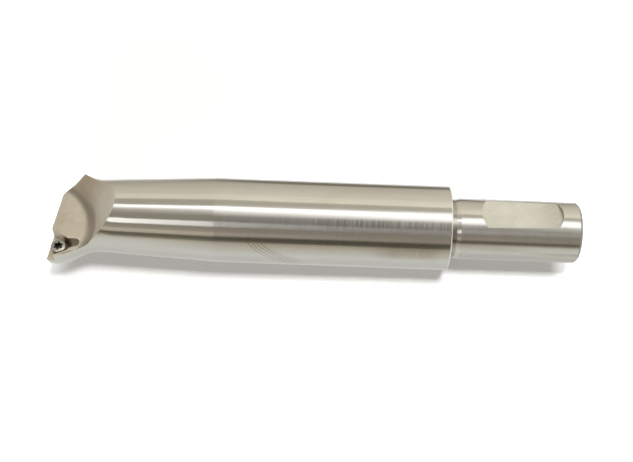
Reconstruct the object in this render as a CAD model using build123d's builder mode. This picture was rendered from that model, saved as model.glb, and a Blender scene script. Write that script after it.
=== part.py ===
from build123d import *
import os
from math import cos, radians, sin, tan

# Stepped boring bar with an empty triangular insert seat, and its insert screw.
#
# Frame, in millimetres: the bar's axis is X and the origin is the centre of the shank's
# end face. The head points to -X, the rake side with the chip gullet faces +Z, and the
# cutting corner of the seat lies towards -Y.

# ---- Shank, held in the boring head ----
shank_diameter = 18.0
shank_length = 38.3
shank_chamfer = 0.8
relief_groove_diameter = 17.3
relief_groove_width = 1.7
relief_cone_length = 1.2

# Clamping flat, milled into the rake side of the shank; it rises towards the shank's end
flat_depth = 1.5
flat_length = 24.0
flat_from_shoulder = 8.8
flat_rise_angle = 0.9
flat_mill_radius = 7.5

# ---- Body, from the shoulder to the neck behind the head ----
body_diameter = 25.0
body_straight_length = 68.6
shoulder_chamfer = 0.3
taper_angle = 2.94
neck_distance = 105.3
neck_blend_radius = 10.0

# ---- Head ----
head_diameter = 29.6
head_distance = 116.7
flare_angle = 26.5
flare_blend_radius = 10.0
front_lead_angle = 5.0
front_relief_angle = 7.0
front_edge_break = 0.4
far_side_width = 10.1
far_side_length = 13.0
far_side_mill_radius = 9.0
head_corner_radius = 3.5

# Chip gullet: a floor parallel to the axis, and a wall left by a large leaning cutter
gullet_floor_drop = 0.4
gullet_wall_distance = 105.2
gullet_offset = 5.1
gullet_cutter_radius = 20.0
gullet_lean_angle = 35.3
gullet_floor_fillet = 3.0

# ---- Seat for a triangular insert with 11 degree flanks ----
insert_circle_radius = 3.175
insert_thickness = 3.18
insert_flank_angle = 11.0
insert_lead_angle = 3.0
seat_distance = 114.6
seat_offset = 10.3
seat_wall_reach = 0.5
seat_front_overrun = 0.6
corner_relief_radius = 1.5
corner_relief_depth = 0.4
corner_relief_offset = 0.45
corner_relief_start = 3.4
corner_relief_end = 4.85

# ---- Insert screw: M3, countersunk head, six-lobe recess ----
thread_diameter = 3.0
thread_clearance = 0.04
screw_length = 6.6
screw_head_diameter = 4.24
screw_head_cone_angle = 60.0
screw_head_rim = 0.45
screw_rim_chamfer = 0.12
screw_tip_chamfer = 0.4
screw_seat_gap = 0.05
recess_diameter = 2.8
recess_core_diameter = 2.0
recess_flute_radius = 0.42
recess_lobe_count = 6
recess_lobe_fillet = 0.12
recess_depth = 1.1

# ---- Sizes that follow from those above ----
shank_radius = shank_diameter / 2
relief_groove_radius = relief_groove_diameter / 2
body_radius = body_diameter / 2
head_radius = head_diameter / 2
shoulder_x = -shank_length
taper_start_x = shoulder_x - body_straight_length
neck_x = shoulder_x - neck_distance
neck_radius = body_radius - (taper_start_x - neck_x) * tan(radians(taper_angle))
land_x = neck_x - (head_radius - neck_radius) / tan(radians(flare_angle))
front_x = shoulder_x - head_distance
front_lead = tan(radians(front_lead_angle))
front_relief = tan(radians(front_relief_angle))
blank_end_x = front_x - head_radius * (front_lead + front_relief)
flat_plane = Plane(
    origin=(shoulder_x + flat_from_shoulder, 0, shank_radius - flat_depth),
    x_dir=(cos(radians(flat_rise_angle)), 0, sin(radians(flat_rise_angle))),
    z_dir=(-sin(radians(flat_rise_angle)), 0, cos(radians(flat_rise_angle))),
)
seat_x = shoulder_x - seat_distance
seat_y = -seat_offset
seat_floor_z = -insert_thickness
clear_height = 1.2 * head_radius

# ---- Chip gullet, as the shape that the cutter takes out ----
gullet_lean = radians(gullet_lean_angle)
gullet_floor_z = -gullet_floor_drop
gullet_x = shoulder_x - gullet_wall_distance - gullet_cutter_radius / cos(gullet_lean)
gullet_cutter_plane = Plane(
    origin=(gullet_x, -gullet_offset, gullet_floor_z),
    x_dir=(cos(gullet_lean), 0, -sin(gullet_lean)),
    z_dir=(sin(gullet_lean), 0, cos(gullet_lean)),
)

with BuildPart() as gullet_cut:
    with BuildSketch(gullet_cutter_plane):
        Circle(gullet_cutter_radius)
    extrude(amount=2 * gullet_cutter_radius, both=True)
    with BuildSketch(Plane.XY.offset(gullet_floor_z)):
        with Locations((gullet_x, -gullet_offset)):
            Rectangle(5 * gullet_cutter_radius, 5 * gullet_cutter_radius)
    extrude(amount=clear_height, mode=Mode.INTERSECT)
    fillet(gullet_cut.edges().group_by(Axis.Z)[0], radius=gullet_floor_fillet)

# ---- Insert seat, as the shape that its cutters take out ----
seat_circle_radius = insert_circle_radius - insert_thickness * tan(radians(insert_flank_angle))
seat_cut_x = seat_x - 2 * seat_front_overrun * cos(radians(insert_lead_angle))
seat_cut_y = seat_y + 2 * seat_front_overrun * sin(radians(insert_lead_angle))
seat_front_x = blank_end_x - insert_circle_radius
seat_wall_end_x = seat_x - seat_wall_reach

with BuildPart() as seat_cut:
    # Pocket with the two flanks of the insert for walls, run out through the front face
    for circle_radius, height in ((insert_circle_radius, 0), (seat_circle_radius, seat_floor_z)):
        cut_radius = circle_radius + seat_front_overrun
        with BuildSketch(Plane.XY.offset(height)):
            with Locations((seat_cut_x, seat_cut_y)):
                RegularPolygon(cut_radius, 3, major_radius=False, rotation=-insert_lead_angle)
    loft()
    # Open corner of the seat, where the cutting tip stands clear of any wall
    with BuildSketch(Plane.XY.offset(seat_floor_z)):
        with Locations((seat_wall_end_x, seat_y)):
            Rectangle(
                seat_wall_end_x - seat_front_x,
                clear_height,
                align=(Align.MAX, Align.MAX),
            )
    extrude(amount=clear_height)
    # Milled relief that keeps the insert's back corner free
    with BuildSketch(Plane.XY.offset(seat_floor_z - corner_relief_depth)):
        relief_middle = (corner_relief_start + corner_relief_end) / 2
        with Locations((seat_x + relief_middle, seat_y + corner_relief_offset)):
            SlotCenterToCenter(corner_relief_end - corner_relief_start, 2 * corner_relief_radius)
    extrude(amount=clear_height)

# ---- Milling of the head's end, as the waste around the block that stays ----
far_side_end_x = front_x + far_side_length
front_plane = Plane(origin=(front_x, 0, 0), z_dir=(-1, front_lead, -front_relief))

with BuildPart() as head_block:
    with BuildSketch(Plane.XY):
        with Locations((far_side_end_x, far_side_width)):
            Rectangle(far_side_end_x - blank_end_x, 2 * clear_height, align=(Align.MAX, Align.MAX))
    extrude(amount=clear_height, both=True)
    # Front face: it leads at the tip and leans back below it
    split(bisect_by=front_plane, keep=Keep.BOTTOM)
    front_far_edge = head_block.edges().sort_by_distance((front_x, far_side_width, 0))[0]
    fillet(front_far_edge, radius=head_corner_radius)

with BuildPart() as head_waste:
    with BuildSketch(Plane.XY):
        with Locations((far_side_end_x, 0)):
            Rectangle(
                far_side_end_x - blank_end_x,
                2 * clear_height,
                align=(Align.MAX, Align.CENTER),
            )
    extrude(amount=clear_height, both=True)
    add(head_block.part, mode=Mode.SUBTRACT)
    # Run-out of the mill along the far side
    with BuildSketch(Plane.XY):
        with Locations((far_side_end_x, far_side_width + far_side_mill_radius)):
            Circle(far_side_mill_radius)
    extrude(amount=clear_height, both=True)

# ---- Bar, one solid ----
with BuildPart() as bar_body:
    # Turned blank: half of the lengthwise section, revolved about the axis
    with BuildSketch(Plane.XZ) as section:
        with BuildLine():
            Polyline(
                (0, 0),
                (0, shank_radius - shank_chamfer),
                (-shank_chamfer, shank_radius),
                (shoulder_x + relief_groove_width + relief_cone_length, shank_radius),
                (shoulder_x + relief_groove_width, relief_groove_radius),
                (shoulder_x, relief_groove_radius),
                (shoulder_x, body_radius - shoulder_chamfer),
                (shoulder_x - shoulder_chamfer, body_radius),
                (taper_start_x, body_radius),
                (neck_x, neck_radius),
                (land_x, head_radius),
                (blank_end_x, head_radius),
                (blank_end_x, 0),
                close=True,
            )
        make_face()
        neck_corner = section.vertices().sort_by_distance((neck_x, neck_radius))[0]
        fillet(neck_corner, radius=neck_blend_radius)
        land_corner = section.vertices().sort_by_distance((land_x, head_radius))[0]
        fillet(land_corner, radius=flare_blend_radius)
    revolve(axis=Axis.X)

    # Clamping flat, with the round ends of its end mill
    with BuildSketch(flat_plane):
        with Locations((flat_length / 2, 0)):
            SlotOverall(flat_length, 2 * flat_mill_radius)
    extrude(amount=2 * flat_depth, mode=Mode.SUBTRACT)

    # Head cut back at its front, and on its far side so that it enters its smallest bore
    add(head_waste.part, mode=Mode.SUBTRACT)
    front_face = bar_body.faces().sort_by(Axis.X)[0]
    fillet(front_face.edges().filter_by(GeomType.ELLIPSE), radius=front_edge_break)

    add(gullet_cut.part, mode=Mode.SUBTRACT)
    add(seat_cut.part, mode=Mode.SUBTRACT)

    # Tapped hole for the insert screw, right through the head
    with BuildSketch(Plane.XY.offset(seat_floor_z)):
        with Locations((seat_x, seat_y)):
            Circle(thread_diameter / 2 + thread_clearance)
    extrude(amount=-clear_height, mode=Mode.SUBTRACT)

bar_body.part.label = "bar_body"

# ---- Insert screw, driven down until its head's cone meets the rim of the tapped hole ----
thread_radius = thread_diameter / 2
screw_head_radius = screw_head_diameter / 2
cone_slope = tan(radians(screw_head_cone_angle / 2))
cone_bottom_z = seat_floor_z + screw_seat_gap - thread_clearance / cone_slope
rim_bottom_z = cone_bottom_z + (screw_head_radius - thread_radius) / cone_slope
screw_top_z = rim_bottom_z + screw_head_rim
screw_tip_z = screw_top_z - screw_length
screw_plane = Plane(origin=(seat_x, seat_y, 0), x_dir=(1, 0, 0), z_dir=(0, -1, 0))

with BuildPart() as insert_screw:
    with BuildSketch(screw_plane):
        with BuildLine():
            Polyline(
                (0, screw_tip_z),
                (thread_radius - screw_tip_chamfer, screw_tip_z),
                (thread_radius, screw_tip_z + screw_tip_chamfer),
                (thread_radius, cone_bottom_z),
                (screw_head_radius, rim_bottom_z),
                (screw_head_radius, screw_top_z - screw_rim_chamfer),
                (screw_head_radius - screw_rim_chamfer, screw_top_z),
                (0, screw_top_z),
                close=True,
            )
        make_face()
    revolve(axis=Axis((seat_x, seat_y, 0), (0, 0, 1)))

    # Six-lobe recess: a disc with round flutes pressed in between the lobes
    with BuildSketch(Plane.XY.offset(screw_top_z)) as recess:
        with Locations((seat_x, seat_y)):
            Circle(recess_diameter / 2)
            with PolarLocations(recess_core_diameter / 2 + recess_flute_radius, recess_lobe_count):
                Circle(recess_flute_radius, mode=Mode.SUBTRACT)
        fillet(recess.vertices(), radius=recess_lobe_fillet)
    extrude(amount=-recess_depth, mode=Mode.SUBTRACT)

insert_screw.part.label = "insert_screw"

os.makedirs("parts", exist_ok=True)
export_step(bar_body.part, "parts/bar_body.step")
export_step(insert_screw.part, "parts/insert_screw.step")
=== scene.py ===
import math

import bpy
from mathutils import Matrix, Vector

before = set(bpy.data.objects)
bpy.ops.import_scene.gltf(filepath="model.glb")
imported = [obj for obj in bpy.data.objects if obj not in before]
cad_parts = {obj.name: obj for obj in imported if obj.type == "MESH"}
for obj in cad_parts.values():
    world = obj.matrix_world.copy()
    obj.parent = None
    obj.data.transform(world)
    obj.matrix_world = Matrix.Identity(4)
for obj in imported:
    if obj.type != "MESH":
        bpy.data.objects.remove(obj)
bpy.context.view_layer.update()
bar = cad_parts["bar_body"]
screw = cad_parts["insert_screw"]

# ---------------------------------------------------------------- places on the part
# In the row frame and in metres, as the CAD part has them. X runs along the axis with the head at -X, Z is
# up on the rake side, and the cutting corner is towards -Y, which is called the front here.
SHANK_RADIUS = 0.009
SHANK_START_X = -0.0354
CLEAR_OF_GROOVE_X = -0.0344
FLAT_END_X = -0.002
END_EDGE_X = -0.0009
SHOULDER_X = -0.0383
SHOULDER_EDGE = 0.0004
BODY_RADIUS = 0.0125
TAPER_START_X = -0.1069
NECK_X = -0.12
FLARE_START_X = -0.1405
HEAD_ROUND_RADIUS = 0.0100
FAR_FLAT_Y = 0.0095
GULLET_FLOOR_Z = -0.0004
GULLET_AXIS = (-0.1680, -0.0051)
GULLET_REACH = (0.0245, 0.0200)
SEAT_FRONT_Y = -0.004
SEAT_FLOOR_Z = -0.00318
SEAT_SLOT_DEPTH = 0.0006
SEAT_CENTRE = (-0.1529, -0.0103)
SEAT_WALL_START = (-0.1534, -0.01403)
SEAT_WALL_RUN = (0.00526, 0.00268)
HOLE_RADIUS = 0.00162
SCREW_TOP_Z = -0.001675
RECESS_RADIUS = 0.00141
RECESS_DEPTH = 0.0012
# The least radius to divide by, then a hundredth and a tenth of a millimetre
ON_THE_AXIS = 1e-9
HAIR = 0.00001
TENTH = 0.0001

# ---------------------------------------------------------------- marks on the steel, and painted shade and light
# Two stops are where a mark or a colour starts and is full, and four add where it starts to fade and ends.
# Turns are in radians from straight up towards the front. Tints multiply the steel's own colour. Lines are
# how many of them the noise draws in a metre of X, of Y and of Z.
PLAIN = (1.0, 1.0, 1.0)
SCUFF_CENTRE = (-0.0776, 0.0004)
SCUFF_SPACING = 0.00095
SCUFF_WAVE = (-0.6, 1.0)
SCUFF_STRENGTH = 0.55
SCUFF_RINGS = (0.0198, 0.0212, 0.0238, 0.0250)
SCUFF_TURN = (1.08, 1.24)
SCUFF_X = (-0.079, -0.086)
SCUFF_TINT = (0.62, 0.56, 0.46)
HAZE_LINES = (150.0, 150.0, 150.0)
HAZE_SPREAD = (0.30, 0.70)
HAZE_STRENGTH = (0.45, 1.0)
HAZE_X = (-0.063, -0.053, -0.046, -0.0385)
HAZE_TURN = (1.02, 1.16, 1.36, 1.60)
HAZE_TINT = (0.74, 0.70, 0.63)
TICK_LINES = (3600.0, 60.0, 60.0)
TICK_SPREAD = (0.42, 0.60)
TICK_X = (-0.082, -0.072)
TICK_TURN = (0.49, 0.55, 0.66, 0.74)
TICK_TINT = (0.78, 0.77, 0.76)
GULLET_TIP_X = (-0.1480, -0.1545)
GULLET_TIP_TINT = (0.90, 0.89, 0.87)
# Painted shade along the gullet's fillet, and painted shade and light on the wall above it
FILLET_SHARE = (0.890, 0.965)
FILLET_Y = (0.0010, -0.0070)
FILLET_SHADE_BACK_TINT = (0.44, 0.42, 0.38)
FILLET_SHADE_FRONT_TINT = (0.57, 0.55, 0.53)
WALL_Z = (0.0, 0.0016)
WALL_Y = (-0.0060, 0.0100)
WALL_LIGHT_FRONT_TINT = (1.20, 1.24, 1.25)
WALL_SHADE_BACK_TINT = (0.78, 0.71, 0.60)
# Painted shadow along the seat wall's edge, in the gap below the screw
GAP_WIDTH = (-0.0012, -0.0010, 0.00026, 0.00046)
GAP_REACH = (0.0041, 0.0041)
GAP_SHARE = (1.0, 0.90)
GAP_SHADOW_TINT = (0.13, 0.11, 0.08)
SCRATCH_START = (-0.15092, -0.01385)
SCRATCH_RUN = (0.00300, 0.00117)
SCRATCH_WIDTH = (-0.00022, -0.00010, 0.00010, 0.00022)
SCRATCH_X = (-0.1514, -0.1508, -0.1483, -0.1477)
SCRATCH_Y = (-0.0110, -0.0115)
SCRATCH_TINT = (0.48, 0.43, 0.36)
# Painted shade in the seat's corner behind the screw
CORNER_SHADE_CENTRE = (-0.1506, -0.0084)
CORNER_SHADE_REACH = (0.0016, 0.0024)
CORNER_SHADE_SHARE = (0.2, 1.0)
CORNER_SHADE_TINT = (0.34, 0.28, 0.20)
SEAT_TINT = (1.0, 0.97, 0.93)
# Painted light and shade on the screw: a glint on the ring's outer side, shade on its other side and on the
# side below it
RING_RUN = (0.75, 0.66)
RING_MIDDLE = (-0.0022, 0.0010)
RING_GLINT = (0.0010, 0.0017)
RING_SHADE_TINT = (0.40, 0.40, 0.39)
RING_HALF_SHADE_TINT = (0.62, 0.61, 0.59)
RING_GLINT_TINT = (1.35, 1.35, 1.33)
SCREW_SIDE_SHADE_Z = (SCREW_TOP_Z - 0.00022, SCREW_TOP_Z - 0.00034)
SCREW_SIDE_SHADE_TINT = (0.12, 0.11, 0.10)
HATCH_LINES = (2600.0, 200.0, 200.0)
HATCH_TURN = 0.9
HATCH_X = (-0.018, -0.006)
HATCH_TINTS = ((0.84, 0.82, 0.80), (0.93, 0.92, 0.90))
FLAT_SHOULDER_TINT = (1.08, 1.08, 1.07)

# The grain of the steel: grooves and smudges where it was turned, strokes and clouds where it was milled
NOISE_SPREAD = (0.35, 0.65)
LINES_ROUND_BAR = 12.0
GROOVE_SPREAD = (0.3, 0.7)
GROOVE_DEPTH = 0.00001
SMUDGE_LINES = (60.0, 130.0, 130.0)
SMUDGE_SHARE = 0.6
STROKE_LINES = (2400.0, 240.0, 1200.0)
CROSSED_LINES = (2000.0, 260.0, 1200.0)
CROSSED_TURN = 1.3
STROKE_DEPTH = 0.00002
CLOUD_LINES = (160.0, 160.0, 160.0)


# ---------------------------------------------------------------- node helpers
def new_material(name):
    material = bpy.data.materials.new(name)
    material.use_nodes = True
    tree = material.node_tree
    return material, tree, tree.nodes["Principled BSDF"]


def add_node(tree, kind, **settings):
    made = tree.nodes.new(kind)
    for key, value in settings.items():
        setattr(made, key, value)
    return made


def math_node(tree, operation, *values):
    node = add_node(tree, "ShaderNodeMath", operation=operation)
    for socket, value in zip(node.inputs, values):
        if isinstance(value, (int, float)):
            socket.default_value = value
        else:
            tree.links.new(value, socket)
    return node.outputs["Value"]


def product(tree, first, *others):
    for other in others:
        first = math_node(tree, "MULTIPLY", first, other)
    return first


def blend_values(tree, first, second, share):
    """Share of the second value, and the rest of the first."""
    return math_node(
        tree,
        "ADD",
        math_node(tree, "MULTIPLY", first, 1.0 - share),
        math_node(tree, "MULTIPLY", second, share),
    )


def larger(tree, first, second):
    return math_node(tree, "MAXIMUM", first, second)


def map_range(tree, value, sources, targets=(0.0, 1.0), **settings):
    node = add_node(tree, "ShaderNodeMapRange", **settings)
    node.inputs["From Min"].default_value, node.inputs["From Max"].default_value = sources
    node.inputs["To Min"].default_value, node.inputs["To Max"].default_value = targets
    tree.links.new(value, node.inputs["Value"])
    return node.outputs["Result"]


def smooth_step(tree, value, start, full):
    """0 at the start and before it, 1 at full and past it, whichever of the two is the greater."""
    sources, targets = (start, full), (0.0, 1.0)
    if start > full:
        sources, targets = (full, start), (1.0, 0.0)
    return map_range(tree, value, sources, targets, interpolation_type="SMOOTHSTEP")


def fade_in_and_out(tree, value, stops):
    """0 up to the first of four rising stops, 1 from the second to the third, and 0 from the fourth."""
    start, full, fade, end = stops
    return product(tree, smooth_step(tree, value, start, full), smooth_step(tree, value, end, fade))


def mix_colours(tree, factor, first, second):
    node = add_node(tree, "ShaderNodeMix", data_type="RGBA")
    factor_socket, first_socket, second_socket = node.inputs[0], node.inputs[6], node.inputs[7]
    tree.links.new(factor, factor_socket)
    for socket, value in ((first_socket, first), (second_socket, second)):
        if isinstance(value, tuple):
            socket.default_value = (*value, 1.0)
        else:
            tree.links.new(value, socket)
    return node.outputs[2]


def multiply_colours(tree, first, second):
    node = add_node(tree, "ShaderNodeMix", data_type="RGBA", blend_type="MULTIPLY")
    node.inputs[0].default_value = 1.0
    tree.links.new(first, node.inputs[6])
    tree.links.new(second, node.inputs[7])
    return node.outputs[2]


def place_of(tree):
    """X, Y and Z in the object's own coordinates, which on the part are the row frame at rest."""
    coords = add_node(tree, "ShaderNodeTexCoord")
    split = add_node(tree, "ShaderNodeSeparateXYZ")
    tree.links.new(coords.outputs["Object"], split.inputs[0])
    return split.outputs["X"], split.outputs["Y"], split.outputs["Z"]


def distance_in_plan(tree, centre, reach):
    """Distance from an upright axis, as a share of the reach along X and along Y."""
    coords = add_node(tree, "ShaderNodeTexCoord")
    shifted = add_node(tree, "ShaderNodeMapping")
    shifted.inputs["Location"].default_value = (-centre[0] / reach[0], -centre[1] / reach[1], 0.0)
    shifted.inputs["Scale"].default_value = (1 / reach[0], 1 / reach[1], 0.0)
    length = add_node(tree, "ShaderNodeVectorMath", operation="LENGTH")
    tree.links.new(coords.outputs["Object"], shifted.inputs["Vector"])
    tree.links.new(shifted.outputs["Vector"], length.inputs[0])
    return length.outputs["Value"]


def across_line(tree, start, run):
    """Distance in plan from a line, positive on the right of the way that it runs."""
    x, y, _ = place_of(tree)
    length = math.hypot(*run)
    weight_x, weight_y = run[1] / length, -run[0] / length
    weighted = math_node(
        tree,
        "ADD",
        math_node(tree, "MULTIPLY", x, weight_x),
        math_node(tree, "MULTIPLY", y, weight_y),
    )
    return math_node(tree, "SUBTRACT", weighted, start[0] * weight_x + start[1] * weight_y)


def stretched_noise(tree, lines, turn=0.0, detail=3.0, distortion=0.0):
    """Noise over the object's own coordinates, turned about Z, with so many lines per metre each way."""
    coords = add_node(tree, "ShaderNodeTexCoord")
    turned = add_node(tree, "ShaderNodeMapping")
    turned.inputs["Rotation"].default_value = (0.0, 0.0, turn)
    stretched = add_node(tree, "ShaderNodeMapping")
    stretched.inputs["Scale"].default_value = lines
    noise = add_node(tree, "ShaderNodeTexNoise")
    noise.inputs["Scale"].default_value = 1.0
    noise.inputs["Detail"].default_value = detail
    noise.inputs["Distortion"].default_value = distortion
    tree.links.new(coords.outputs["Object"], turned.inputs["Vector"])
    tree.links.new(turned.outputs["Vector"], stretched.inputs["Vector"])
    tree.links.new(stretched.outputs["Vector"], noise.inputs["Vector"])
    return noise.outputs["Fac"]


def set_bump(tree, shader, height, strength, distance):
    node = add_node(tree, "ShaderNodeBump")
    node.inputs["Strength"].default_value = strength
    node.inputs["Distance"].default_value = distance
    tree.links.new(height, node.inputs["Height"])
    tree.links.new(node.outputs["Normal"], shader.inputs["Normal"])


# ---------------------------------------------------------------- tints, by place on the part
def body_tint(tree):
    """Handling marks on the straight body: curved scuffs, a brown haze and a band of fine ticks."""
    x, y, z = place_of(tree)
    turn = math_node(tree, "ARCTAN2", math_node(tree, "MULTIPLY", y, -1.0), z)
    along = math_node(tree, "SUBTRACT", x, SCUFF_CENTRE[0])
    around = math_node(tree, "SUBTRACT", math_node(tree, "MULTIPLY", turn, BODY_RADIUS), SCUFF_CENTRE[1])
    squares = math_node(tree, "ADD", product(tree, along, along), product(tree, around, around))
    reach = math_node(tree, "SQRT", squares)
    ripple = math_node(tree, "SINE", math_node(tree, "MULTIPLY", reach, 2 * math.pi / SCUFF_SPACING))
    scuffs = product(
        tree,
        map_range(tree, ripple, SCUFF_WAVE, (0.0, SCUFF_STRENGTH)),
        fade_in_and_out(tree, reach, SCUFF_RINGS),
        smooth_step(tree, turn, *SCUFF_TURN),
        smooth_step(tree, x, *SCUFF_X),
    )
    cloud = stretched_noise(tree, HAZE_LINES, detail=5.0, distortion=0.5)
    haze = product(
        tree,
        map_range(tree, cloud, HAZE_SPREAD, HAZE_STRENGTH),
        fade_in_and_out(tree, x, HAZE_X),
        fade_in_and_out(tree, turn, HAZE_TURN),
    )
    streak = stretched_noise(tree, TICK_LINES, detail=2.0)
    ticks = product(
        tree,
        map_range(tree, streak, TICK_SPREAD),
        smooth_step(tree, x, *TICK_X),
        fade_in_and_out(tree, turn, TICK_TURN),
    )
    tinted = mix_colours(tree, scuffs, PLAIN, SCUFF_TINT)
    tinted = mix_colours(tree, haze, tinted, HAZE_TINT)
    return mix_colours(tree, ticks, tinted, TICK_TINT)


def gullet_tint(tree):
    """A light floor, painted shade on the fillet, a wall painted from brown shade to pale light, a painted
    shadow in the gap and a scratch by the seat.
    """
    x, y, z = place_of(tree)
    level = mix_colours(tree, smooth_step(tree, x, *GULLET_TIP_X), PLAIN, GULLET_TIP_TINT)
    # Painted shade on the fillet, and painted shade and light on the wall
    fillet = mix_colours(tree, smooth_step(tree, y, *FILLET_Y), FILLET_SHADE_BACK_TINT, FILLET_SHADE_FRONT_TINT)
    wall = mix_colours(tree, smooth_step(tree, y, *WALL_Y), WALL_LIGHT_FRONT_TINT, WALL_SHADE_BACK_TINT)
    rim = mix_colours(tree, smooth_step(tree, z, *WALL_Z), fillet, wall)
    from_axis = distance_in_plan(tree, GULLET_AXIS, GULLET_REACH)
    tinted = mix_colours(tree, smooth_step(tree, from_axis, *FILLET_SHARE), level, rim)
    # Painted shadow in the gap by the seat's wall
    gap = product(
        tree,
        fade_in_and_out(tree, across_line(tree, SEAT_WALL_START, SEAT_WALL_RUN), GAP_WIDTH),
        smooth_step(tree, distance_in_plan(tree, SEAT_CENTRE, GAP_REACH), *GAP_SHARE),
    )
    tinted = mix_colours(tree, gap, tinted, GAP_SHADOW_TINT)
    scratch = product(
        tree,
        fade_in_and_out(tree, across_line(tree, SCRATCH_START, SCRATCH_RUN), SCRATCH_WIDTH),
        fade_in_and_out(tree, x, SCRATCH_X),
        smooth_step(tree, y, *SCRATCH_Y),
    )
    return mix_colours(tree, scratch, tinted, SCRATCH_TINT)


def seat_tint(tree):
    """Painted shade, dark brown, in the corner behind the screw, and bare steel elsewhere."""
    from_corner = distance_in_plan(tree, CORNER_SHADE_CENTRE, CORNER_SHADE_REACH)
    return mix_colours(tree, smooth_step(tree, from_corner, *CORNER_SHADE_SHARE), CORNER_SHADE_TINT, SEAT_TINT)


def screw_tint(tree):
    """A grey ring with a painted glint on the side away from the bar's axis and painted shade on the other,
    and painted shade on the head's side below it.
    """
    _, _, z = place_of(tree)
    outward = across_line(tree, SEAT_CENTRE, RING_RUN)
    inner = mix_colours(tree, smooth_step(tree, outward, *RING_MIDDLE), RING_SHADE_TINT, RING_HALF_SHADE_TINT)
    ring = mix_colours(tree, smooth_step(tree, outward, *RING_GLINT), inner, RING_GLINT_TINT)
    return mix_colours(tree, smooth_step(tree, z, *SCREW_SIDE_SHADE_Z), ring, SCREW_SIDE_SHADE_TINT)


def flat_tint(tree):
    """Brighter towards the shoulder, duller and hatched towards the end."""
    x, _, _ = place_of(tree)
    hatch = stretched_noise(tree, HATCH_LINES, turn=HATCH_TURN, detail=2.0)
    hatched = mix_colours(tree, map_range(tree, hatch, NOISE_SPREAD), *HATCH_TINTS)
    return mix_colours(tree, smooth_step(tree, x, *HATCH_X), FLAT_SHOULDER_TINT, hatched)


# ---------------------------------------------------------------- bare steel, by how it was cut
def steel_colour(tree, tone, light, dark, tint):
    colour = mix_colours(tree, map_range(tree, tone, NOISE_SPREAD), dark, light)
    return colour if tint is None else multiply_colours(tree, colour, tint(tree))


def turned_steel(name, light, dark, roughness, groove_lines, groove_strength, tint=None):
    """Steel cut or ground while it turned: fine grooves round the axis, and faint smudges."""
    material, tree, shader = new_material(name)
    shader.inputs["Metallic"].default_value = 1.0
    # Grooves run round the bar, so a highlight stretches along it and stays sharp across it
    shader.inputs["Anisotropic"].default_value = 1.0
    along = add_node(tree, "ShaderNodeCombineXYZ")
    along.inputs["X"].default_value = 1.0
    tree.links.new(along.outputs["Vector"], shader.inputs["Tangent"])
    grooves = stretched_noise(tree, (groove_lines, LINES_ROUND_BAR, LINES_ROUND_BAR), detail=4.0)
    smudges = stretched_noise(tree, SMUDGE_LINES, detail=5.0, distortion=0.6)
    tone = blend_values(tree, grooves, smudges, SMUDGE_SHARE)
    tree.links.new(steel_colour(tree, tone, light, dark, tint), shader.inputs["Base Color"])
    tree.links.new(map_range(tree, grooves, GROOVE_SPREAD, roughness), shader.inputs["Roughness"])
    set_bump(tree, shader, grooves, groove_strength, GROOVE_DEPTH)
    return name, material


def milled_steel(name, light, dark, roughness, stroke_turn, stroke_strength, tint=None):
    """Steel left by a mill or by sanding: fine crossed strokes and a cloudy satin shine."""
    material, tree, shader = new_material(name)
    shader.inputs["Metallic"].default_value = 1.0
    strokes = blend_values(
        tree,
        stretched_noise(tree, STROKE_LINES, turn=stroke_turn),
        stretched_noise(tree, CROSSED_LINES, turn=stroke_turn + CROSSED_TURN),
        0.5,
    )
    clouds = stretched_noise(tree, CLOUD_LINES, detail=5.0, distortion=0.4)
    tone = blend_values(tree, strokes, clouds, 0.5)
    tree.links.new(steel_colour(tree, tone, light, dark, tint), shader.inputs["Base Color"])
    tree.links.new(map_range(tree, tone, NOISE_SPREAD, roughness[::-1]), shader.inputs["Roughness"])
    set_bump(tree, shader, strokes, stroke_strength, STROKE_DEPTH)
    return name, material


# Each row: name, lightest and darkest colour, least and greatest roughness, the grooves in a metre or the
# turn of the strokes in radians, how strong they look, and the tint by place
BAR_FINISHES = (
    turned_steel("turned_shank", (0.51, 0.495, 0.45), (0.465, 0.45, 0.405), (0.22, 0.27), 1500.0, 0.03),
    turned_steel(
        "ground_body", (0.52, 0.505, 0.46), (0.47, 0.455, 0.41), (0.17, 0.24), 5200.0, 0.06, body_tint
    ),
    milled_steel(
        "sanded_flat", (0.55, 0.54, 0.495), (0.47, 0.46, 0.415), (0.40, 0.48), 0.8, 0.10, flat_tint
    ),
    milled_steel("seat_steel", (0.52, 0.49, 0.43), (0.44, 0.41, 0.36), (0.38, 0.48), 0.5, 0.10, seat_tint),
    # The tapped hole is painted dark, as painted shade in the hole
    milled_steel("shaded_tapped_hole", (0.20, 0.19, 0.18), (0.10, 0.10, 0.09), (0.45, 0.60), 0.5, 0.2),
    milled_steel(
        "gullet_steel", (0.56, 0.515, 0.45), (0.48, 0.435, 0.37), (0.42, 0.48), 0.2, 0.10, gullet_tint
    ),
    turned_steel("ground_taper", (0.51, 0.495, 0.45), (0.49, 0.475, 0.43), (0.16, 0.21), 5200.0, 0.04),
    turned_steel("relief_groove", (0.38, 0.36, 0.31), (0.33, 0.31, 0.27), (0.22, 0.27), 1500.0, 0.03),
    # The shoulder's edge is painted near white, a painted highlight
    turned_steel("highlit_edge", (0.90, 0.88, 0.84), (0.84, 0.82, 0.78), (0.22, 0.28), 1500.0, 0.02),
    turned_steel("end_edge", (0.42, 0.41, 0.37), (0.37, 0.36, 0.32), (0.24, 0.30), 1500.0, 0.03),
    milled_steel("flank_steel", (0.465, 0.455, 0.415), (0.385, 0.375, 0.345), (0.42, 0.48), 0.2, 0.10),
    turned_steel("groove_cone", (0.60, 0.57, 0.53), (0.55, 0.52, 0.48), (0.22, 0.27), 1500.0, 0.03),
)
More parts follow.
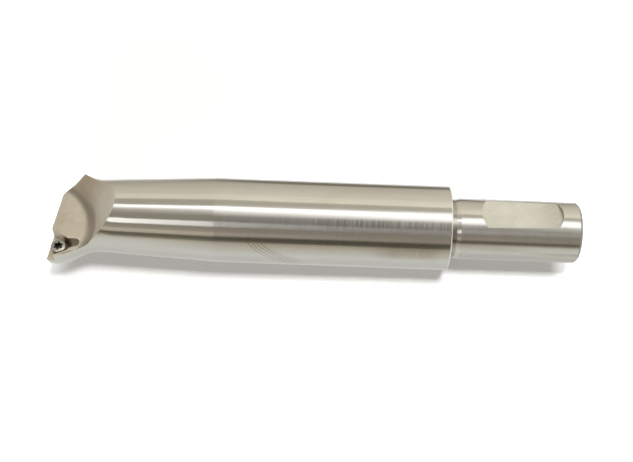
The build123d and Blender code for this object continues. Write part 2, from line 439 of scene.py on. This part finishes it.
SCREW_FINISHES = (
    milled_steel("screw_steel", (0.56, 0.55, 0.53), (0.46, 0.45, 0.43), (0.20, 0.30), 0.3, 0.05, screw_tint),
    # The screw's recess is painted nearly black, as painted shade
    milled_steel("shaded_recess", (0.07, 0.07, 0.07), (0.02, 0.02, 0.02), (0.40, 0.55), 0.3, 0.1),
)

# How far a face looks along an axis or outward from the bar's own axis, where 1 is straight along it
CONE_LOOK = (-0.95, -0.1)
END_LOOK = 0.99
STEP_LOOK = 0.1
EDGE_LOOK = 0.2
TAPER_LOOK = 0.97
ROUND_LOOK = 0.85
ROUND_TIP_LOOK = -0.3
HOLE_LOOK = 0.5
FAR_FLAT_TILT = 0.002
FAR_FLAT_LOOK = 0.1
SEAT_TIP_LOOK = -0.9
FLOOR_LOOK = 0.3


def shank_finish(x, z, radius, normal):
    """The groove beside the shoulder, the milled flat, the edge of the end, or the plain shank."""
    if x < SHANK_START_X - TENTH:
        return "groove_cone" if CONE_LOOK[0] < normal.x < CONE_LOOK[1] else "relief_groove"
    below_round = z > 0.0 and radius < SHANK_RADIUS - 2 * HAIR and abs(normal.x) < END_LOOK
    end_of_flat = z > 0.0 and abs(normal.z) < STEP_LOOK and x > CLEAR_OF_GROOVE_X
    if (below_round or end_of_flat) and x < FLAT_END_X:
        return "sanded_flat"
    return "end_edge" if x > END_EDGE_X else "turned_shank"


def head_finish(x, y, z, radius, outward, normal):
    """The tapped hole, painted dark for its shade, what is left of the turned round, the seat, the gullet,
    or a milled side.
    """
    from_hole = math.hypot(x - SEAT_CENTRE[0], y - SEAT_CENTRE[1])
    if from_hole < HOLE_RADIUS and z < SEAT_FLOOR_Z - HAIR and abs(normal.z) < HOLE_LOOK:
        return "shaded_tapped_hole"
    on_far_flat = y > FAR_FLAT_Y and abs(normal.z) < FAR_FLAT_TILT and normal.y > FAR_FLAT_LOOK
    on_round = outward > ROUND_LOOK and radius > HEAD_ROUND_RADIUS and normal.x > ROUND_TIP_LOOK
    if on_round and not on_far_flat:
        return "ground_taper"
    in_seat = y < SEAT_FRONT_Y and SEAT_FLOOR_Z - SEAT_SLOT_DEPTH < z < GULLET_FLOOR_Z - HAIR
    if in_seat and normal.x > SEAT_TIP_LOOK:
        return "seat_steel"
    return "gullet_steel" if normal.z > FLOOR_LOOK else "flank_steel"


def bar_finish(centre, normal):
    """Which finish a face of the bar has, from where it lies and where it looks."""
    x, y, z = centre
    radius = math.hypot(y, z)
    outward = (normal.y * y + normal.z * z) / max(radius, ON_THE_AXIS)
    if x > SHOULDER_X + TENTH:
        return shank_finish(x, z, radius, normal)
    # The shoulder's edge gets a painted highlight
    near_edge = x > SHOULDER_X - SHOULDER_EDGE and radius > BODY_RADIUS - SHOULDER_EDGE
    if near_edge and normal.x > EDGE_LOOK:
        return "highlit_edge"
    if x > TAPER_START_X:
        return "ground_body"
    if x > FLARE_START_X and outward > TAPER_LOOK:
        return "ground_taper"
    return head_finish(x, y, z, radius, outward, normal)


def screw_finish(centre, _):
    """The recess, painted nearly black for its shade, or the rest of the screw."""
    from_axis = math.hypot(centre.x - SEAT_CENTRE[0], centre.y - SEAT_CENTRE[1])
    inside = from_axis < RECESS_RADIUS and SCREW_TOP_Z - RECESS_DEPTH < centre.z < SCREW_TOP_Z - HAIR
    return "shaded_recess" if inside else "screw_steel"


def dress(piece, finishes, finish_of):
    """Give each face the finish that its place and the way it looks call for."""
    piece.data.materials.clear()
    for _, material in finishes:
        piece.data.materials.append(material)
    names = [name for name, _ in finishes]
    for polygon in piece.data.polygons:
        polygon.material_index = names.index(finish_of(polygon.center, polygon.normal))


dress(bar, BAR_FINISHES, bar_finish)
dress(screw, SCREW_FINISHES, screw_finish)

# ---------------------------------------------------------------- floor, under the bar as it lies
# The floor's colour as the steel mirrors it, at places across the bar, from the front to the back. It is a
# painted reflection, with a painted shadow under the bar and painted dark far in front and behind
FLOOR_SIZE = 6.0
SHEET_FRONT, SHEET_BACK = -0.25, 0.15
SHEET_STRENGTH = 1.08
NEAR_WHITE = (0.98, 1.0, 1.0)
SHEET_BESIDE_BODY = (
    (-0.200, (0.060, 0.052, 0.040)),
    (-0.105, (0.540, 0.490, 0.400)),
    (-0.060, (0.700, 0.660, 0.580)),
    (-0.035, (0.840, 0.830, 0.780)),
    (-0.022, NEAR_WHITE),
    (-0.004, (0.620, 0.620, 0.600)),
    (0.050, NEAR_WHITE),
    (0.066, (0.300, 0.275, 0.225)),
)
SHEET_PAST_BODY = (
    (-0.180, (0.240, 0.220, 0.170)),
    (-0.110, (0.560, 0.520, 0.430)),
    (-0.072, (0.880, 0.860, 0.780)),
    (-0.034, NEAR_WHITE),
    (-0.018, (0.940, 0.950, 0.930)),
    (-0.004, (0.640, 0.640, 0.620)),
    (0.050, NEAR_WHITE),
    (0.066, (0.600, 0.560, 0.480)),
)
# Where the first tones give way to the second, towards the head and towards the shank's end
TONES_LEFT_X = (-0.10, -0.15)
TONES_RIGHT_X = (-0.014, -0.004)
# The floor's own glow as the camera sees it, faint beside the bar, with painted light past its ends that
# lifts the shadow there, and white far away
GLOW_CENTRE = (-0.085, 0.0)
GLOW_REACH = (0.50, 0.42)
GLOW_SHARE = (0.14, 1.0)
GLOW_BESIDE_BAR = 0.15
PAINTED_LIGHT_PAST_ENDS = 0.45
PAINTED_LIGHT_LEFT_X = (-0.1500, -0.1590)
PAINTED_LIGHT_RIGHT_X = (-0.0066, -0.0012)
PAPER_LINES = (40.0, 40.0, 40.0)
PAPER_ROUGHNESS = 0.8
PAPER_SPECULAR = 0.1
PAPER_GREYS = ((0.93, 0.93, 0.93), (0.96, 0.96, 0.96))


def seen_share(tree):
    """1 for rays that show a thing, straight, mirrored or through glass, and 0 for all other rays."""
    path = add_node(tree, "ShaderNodeLightPath")
    indirect = larger(tree, path.outputs["Is Glossy Ray"], path.outputs["Is Transmission Ray"])
    return larger(tree, path.outputs["Is Camera Ray"], indirect)


def sheet_tones(tree, across, stops):
    """A colour for each place across the sheet, where across goes from 0 at its front to 1 at its back."""
    ramp = add_node(tree, "ShaderNodeValToRGB")
    elements = ramp.color_ramp.elements
    while len(elements) < len(stops):
        elements.new(0.5)
    for element, (place, colour) in zip(elements, stops):
        element.position = (place - SHEET_FRONT) / (SHEET_BACK - SHEET_FRONT)
        element.color = (*colour, 1.0)
    tree.links.new(across, ramp.inputs["Fac"])
    return ramp.outputs["Color"]


def white_sheet():
    """White paper for the camera and the lamp, and a painted reflection for the steel, with a painted shadow
    under the bar.
    """
    material, tree, shader = new_material("floor_white")
    shader.inputs["Roughness"].default_value = PAPER_ROUGHNESS
    shader.inputs["Specular IOR Level"].default_value = PAPER_SPECULAR
    grain = stretched_noise(tree, PAPER_LINES)
    tree.links.new(mix_colours(tree, grain, *PAPER_GREYS), shader.inputs["Base Color"])
    x, y, _ = place_of(tree)
    far = smooth_step(tree, distance_in_plan(tree, GLOW_CENTRE, GLOW_REACH), *GLOW_SHARE)
    # Painted light past the bar's ends, lifting its shadow there
    painted_light_past_ends = larger(tree, smooth_step(tree, x, *PAINTED_LIGHT_LEFT_X), smooth_step(tree, x, *PAINTED_LIGHT_RIGHT_X))
    glow = math_node(
        tree,
        "ADD",
        map_range(tree, far, (0.0, 1.0), (GLOW_BESIDE_BAR, 1.0)),
        math_node(tree, "MULTIPLY", painted_light_past_ends, PAINTED_LIGHT_PAST_ENDS),
    )
    shader.inputs["Emission Color"].default_value = (*PLAIN, 1.0)
    tree.links.new(product(tree, seen_share(tree), glow), shader.inputs["Emission Strength"])
    # Painted reflection tones that only the steel sees, darker under the bar for a painted shadow
    across = map_range(tree, y, (SHEET_FRONT, SHEET_BACK))
    past_body = larger(tree, smooth_step(tree, x, *TONES_LEFT_X), smooth_step(tree, x, *TONES_RIGHT_X))
    tones = mix_colours(
        tree,
        past_body,
        sheet_tones(tree, across, SHEET_BESIDE_BODY),
        sheet_tones(tree, across, SHEET_PAST_BODY),
    )
    mirrored = add_node(tree, "ShaderNodeEmission")
    mirrored.inputs["Strength"].default_value = SHEET_STRENGTH
    tree.links.new(tones, mirrored.inputs["Color"])
    path = add_node(tree, "ShaderNodeLightPath")
    by_ray = add_node(tree, "ShaderNodeMixShader")
    tree.links.new(path.outputs["Is Glossy Ray"], by_ray.inputs["Fac"])
    tree.links.new(shader.outputs["BSDF"], by_ray.inputs[1])
    tree.links.new(mirrored.outputs["Emission"], by_ray.inputs[2])
    tree.links.new(by_ray.outputs["Shader"], tree.nodes["Material Output"].inputs["Surface"])
    return material


def lay_floor():
    """The bar lies on its shoulder and its head, so the floor slopes a little along the axis."""
    head_points = [vertex.co for vertex in bar.data.vertices if vertex.co.x < NECK_X]
    slope = max((-BODY_RADIUS - point.z) / (SHOULDER_X - point.x) for point in head_points)
    bpy.ops.mesh.primitive_plane_add(size=FLOOR_SIZE)
    floor = bpy.context.object
    floor.name = "floor"
    floor.rotation_euler = (0.0, -math.atan(slope), 0.0)
    floor.location = (0.0, 0.0, -BODY_RADIUS - slope * SHOULDER_X - 2 * HAIR)
    floor.data.materials.append(white_sheet())


lay_floor()

# ---------------------------------------------------------------- studio: white room, lamp and light tent
MIDDLE = Vector((-0.085, 0.0, 0.0))
ROOM_LIGHT = (0.245, 0.235, 0.213)
KEY_ENERGY = 6.6
KEY_SIZE = (0.30, 0.22)
KEY_DEGREES = 9.0
KEY_DISTANCE = 0.9
KEY_SHIFT = 0.18
TENT_DISTANCE = 1.0
TENT_LEVEL = 0.88
LAMP = (2.8, 2.84, 3.0)
SIDE_LAMP = (3.6, 3.62, 3.75)
# The tent's strips, for each stretch of X from the bar's middle. Each row: name, two turns in degrees from
# straight up towards the front, and the colours at the first and at the second.
TENT = {
    # seen in the taper and the head
    (-1.80, -0.16): (
        ("wall_behind_left", -98.0, -21.0, (0.70, 0.64, 0.55), (1.40, 1.34, 1.17)),
        ("ceiling_behind_left", -21.0, -0.5, (0.72, 0.68, 0.58), (0.72, 0.68, 0.58)),
        ("ceiling_lamp_left", -0.5, 6.5, LAMP, LAMP),
        ("lamp_edge_left", 6.5, 13.0, (1.50, 1.50, 1.40), (0.60, 0.55, 0.48)),
        ("front_high_left", 13.0, 42.0, (0.58, 0.51, 0.42), (0.54, 0.51, 0.44)),
        ("front_middle_left", 55.0, 72.0, (0.50, 0.46, 0.40), (0.66, 0.60, 0.50)),
        ("front_low_left", 72.0, 84.0, (1.06, 0.97, 0.83), (1.10, 1.00, 0.86)),
        ("table_edge_left", 84.0, 91.0, (0.32, 0.29, 0.22), (0.26, 0.24, 0.18)),
    ),
    (-1.80, -0.31): (("side_lamp_left", 42.0, 56.0, SIDE_LAMP, SIDE_LAMP),),
    (-0.31, -0.16): (("side_lamp_end", 42.0, 55.0, (0.60, 0.58, 0.54), (0.50, 0.46, 0.40)),),
    # seen in the straight body
    (-0.16, 0.178): (
        ("wall_behind", -98.0, -20.0, (0.76, 0.70, 0.61), (1.58, 1.51, 1.34)),
        ("ceiling_behind", -20.0, -1.0, (0.82, 0.78, 0.68), (0.86, 0.82, 0.72)),
        ("ceiling_lamp", -1.0, 13.0, LAMP, LAMP),
        ("lamp_edge", 13.0, 25.5, (2.20, 2.20, 2.15), (0.50, 0.50, 0.49)),
        ("front_high", 25.5, 41.0, (0.30, 0.30, 0.29), (0.16, 0.16, 0.15)),
        ("side_lamp_faint", 41.0, 46.0, (0.15, 0.15, 0.14), (0.14, 0.14, 0.13)),
        ("front_middle", 46.0, 55.0, (0.13, 0.125, 0.12), (0.28, 0.26, 0.24)),
        ("front_low", 55.0, 79.5, (0.38, 0.34, 0.30), (0.48, 0.43, 0.37)),
        ("table_edge", 79.5, 91.0, (0.055, 0.048, 0.037), (0.045, 0.040, 0.031)),
    ),
    # seen in the shank
    (0.178, 1.80): (
        ("wall_behind_right", -98.0, -21.0, (0.86, 0.79, 0.70), (1.80, 1.72, 1.52)),
        ("ceiling_behind_right", -21.0, -7.0, (1.05, 1.00, 0.90), (1.05, 1.00, 0.90)),
        ("ceiling_lamp_right", -7.0, 19.0, LAMP, LAMP),
        ("lamp_edge_right", 19.0, 38.0, (1.70, 1.72, 1.75), (0.90, 0.88, 0.85)),
        ("front_high_right", 38.0, 60.0, (0.80, 0.77, 0.73), (0.46, 0.43, 0.40)),
        ("front_low_right", 60.0, 83.0, (0.50, 0.46, 0.41), (0.50, 0.45, 0.40)),
        ("table_edge_right", 83.0, 91.0, (0.30, 0.27, 0.22), (0.22, 0.20, 0.16)),
    ),
}


def white_room():
    """A world that is white where it is seen, and lights the scene only faintly."""
    world = bpy.data.worlds.new("studio")
    bpy.context.scene.world = world
    world.use_nodes = True
    tree = world.node_tree
    colour = mix_colours(tree, seen_share(tree), ROOM_LIGHT, PLAIN)
    tree.links.new(colour, tree.nodes["Background"].inputs["Color"])


def place_around(thing, degrees_forward, distance, shift_along):
    """Put a thing beside the bar's middle, turned from straight up towards the front, facing the bar."""
    turn = math.radians(degrees_forward)
    direction = Vector((0.0, -math.sin(turn), math.cos(turn)))
    across = Vector((0.0, math.cos(turn), math.sin(turn)))
    facing = Matrix((Vector((1.0, 0.0, 0.0)), across, direction)).transposed()
    thing.location = MIDDLE + direction * distance + Vector((shift_along, 0.0, 0.0))
    thing.rotation_mode = "QUATERNION"
    thing.rotation_quaternion = facing.to_quaternion()


def key_lamp():
    """The lamp that lights the floor and gives the shadow. The steel mirrors the tent and not this lamp."""
    lamp = bpy.data.lights.new("key_lamp", "AREA")
    lamp.shape = "RECTANGLE"
    lamp.size, lamp.size_y = KEY_SIZE
    lamp.energy = KEY_ENERGY
    holder = bpy.data.objects.new("key_lamp", lamp)
    holder.visible_glossy = False
    place_around(holder, KEY_DEGREES, KEY_DISTANCE, KEY_SHIFT)
    bpy.context.collection.objects.link(holder)


def strip_glow(name, low_colour, high_colour):
    material = bpy.data.materials.new(name)
    material.use_nodes = True
    tree = material.node_tree
    tree.nodes.clear()
    coords = add_node(tree, "ShaderNodeTexCoord")
    split = add_node(tree, "ShaderNodeSeparateXYZ")
    glow = add_node(tree, "ShaderNodeEmission")
    glow.inputs["Strength"].default_value = TENT_LEVEL
    output = add_node(tree, "ShaderNodeOutputMaterial")
    tree.links.new(coords.outputs["Generated"], split.inputs[0])
    tree.links.new(mix_colours(tree, split.outputs["Y"], high_colour, low_colour), glow.inputs["Color"])
    tree.links.new(glow.outputs["Emission"], output.inputs["Surface"])
    return material


def tent_strip(name, low_turn, high_turn, left, right, low_colour, high_colour):
    """A glowing strip beside the bar, from one turn to another, that is only seen mirrored in the steel."""
    width = 2 * TENT_DISTANCE * math.tan(math.radians(high_turn - low_turn) / 2)
    bpy.ops.mesh.primitive_plane_add(size=1.0)
    strip = bpy.context.object
    strip.name = name
    place_around(strip, (low_turn + high_turn) / 2, TENT_DISTANCE, (left + right) / 2)
    strip.scale = (right - left, width, 1.0)
    strip.data.materials.append(strip_glow(name, low_colour, high_colour))
    strip.visible_camera = False
    strip.visible_diffuse = False
    strip.visible_shadow = False
    strip.visible_transmission = False


white_room()
key_lamp()
for (left, right), strips in TENT.items():
    for name, low_turn, high_turn, low_colour, high_colour in strips:
        tent_strip(name, low_turn, high_turn, left, right, low_colour, high_colour)

# ---------------------------------------------------------------- camera, as in the photograph
PHOTO_WIDTH = 633
FOCAL_PIXELS = 1040.5
SHIFT_PIXELS = (-0.3, 0.8)
SENSOR_WIDTH = 36.0
CLIP_RANGE = (0.01, 20.0)
CAMERA_PLACE = Vector((-0.07722, -0.18638, 0.24773))
CAMERA_ELEVATION = math.radians(53.5)
CAMERA_ROLL = math.radians(2.09)


def camera_pose():
    """The camera looks towards +Y and down, and rolls a little about its own axis."""
    forward = Vector((0.0, math.cos(CAMERA_ELEVATION), -math.sin(CAMERA_ELEVATION)))
    level_right = Vector((1.0, 0.0, 0.0))
    level_up = Vector((0.0, math.sin(CAMERA_ELEVATION), math.cos(CAMERA_ELEVATION)))
    right = math.cos(CAMERA_ROLL) * level_right + math.sin(CAMERA_ROLL) * level_up
    up = -math.sin(CAMERA_ROLL) * level_right + math.cos(CAMERA_ROLL) * level_up
    pose = Matrix((right, up, -forward)).transposed().to_4x4()
    pose.translation = CAMERA_PLACE
    return pose


def set_camera():
    lens = bpy.data.cameras.new("camera")
    lens.sensor_fit = "HORIZONTAL"
    lens.sensor_width = SENSOR_WIDTH
    lens.lens = FOCAL_PIXELS * SENSOR_WIDTH / PHOTO_WIDTH
    lens.shift_x = SHIFT_PIXELS[0] / PHOTO_WIDTH
    lens.shift_y = SHIFT_PIXELS[1] / PHOTO_WIDTH
    lens.clip_start, lens.clip_end = CLIP_RANGE
    camera = bpy.data.objects.new("camera", lens)
    camera.matrix_world = camera_pose()
    bpy.context.collection.objects.link(camera)
    bpy.context.scene.camera = camera
    bpy.context.scene.view_settings.view_transform = "Standard"


set_camera()
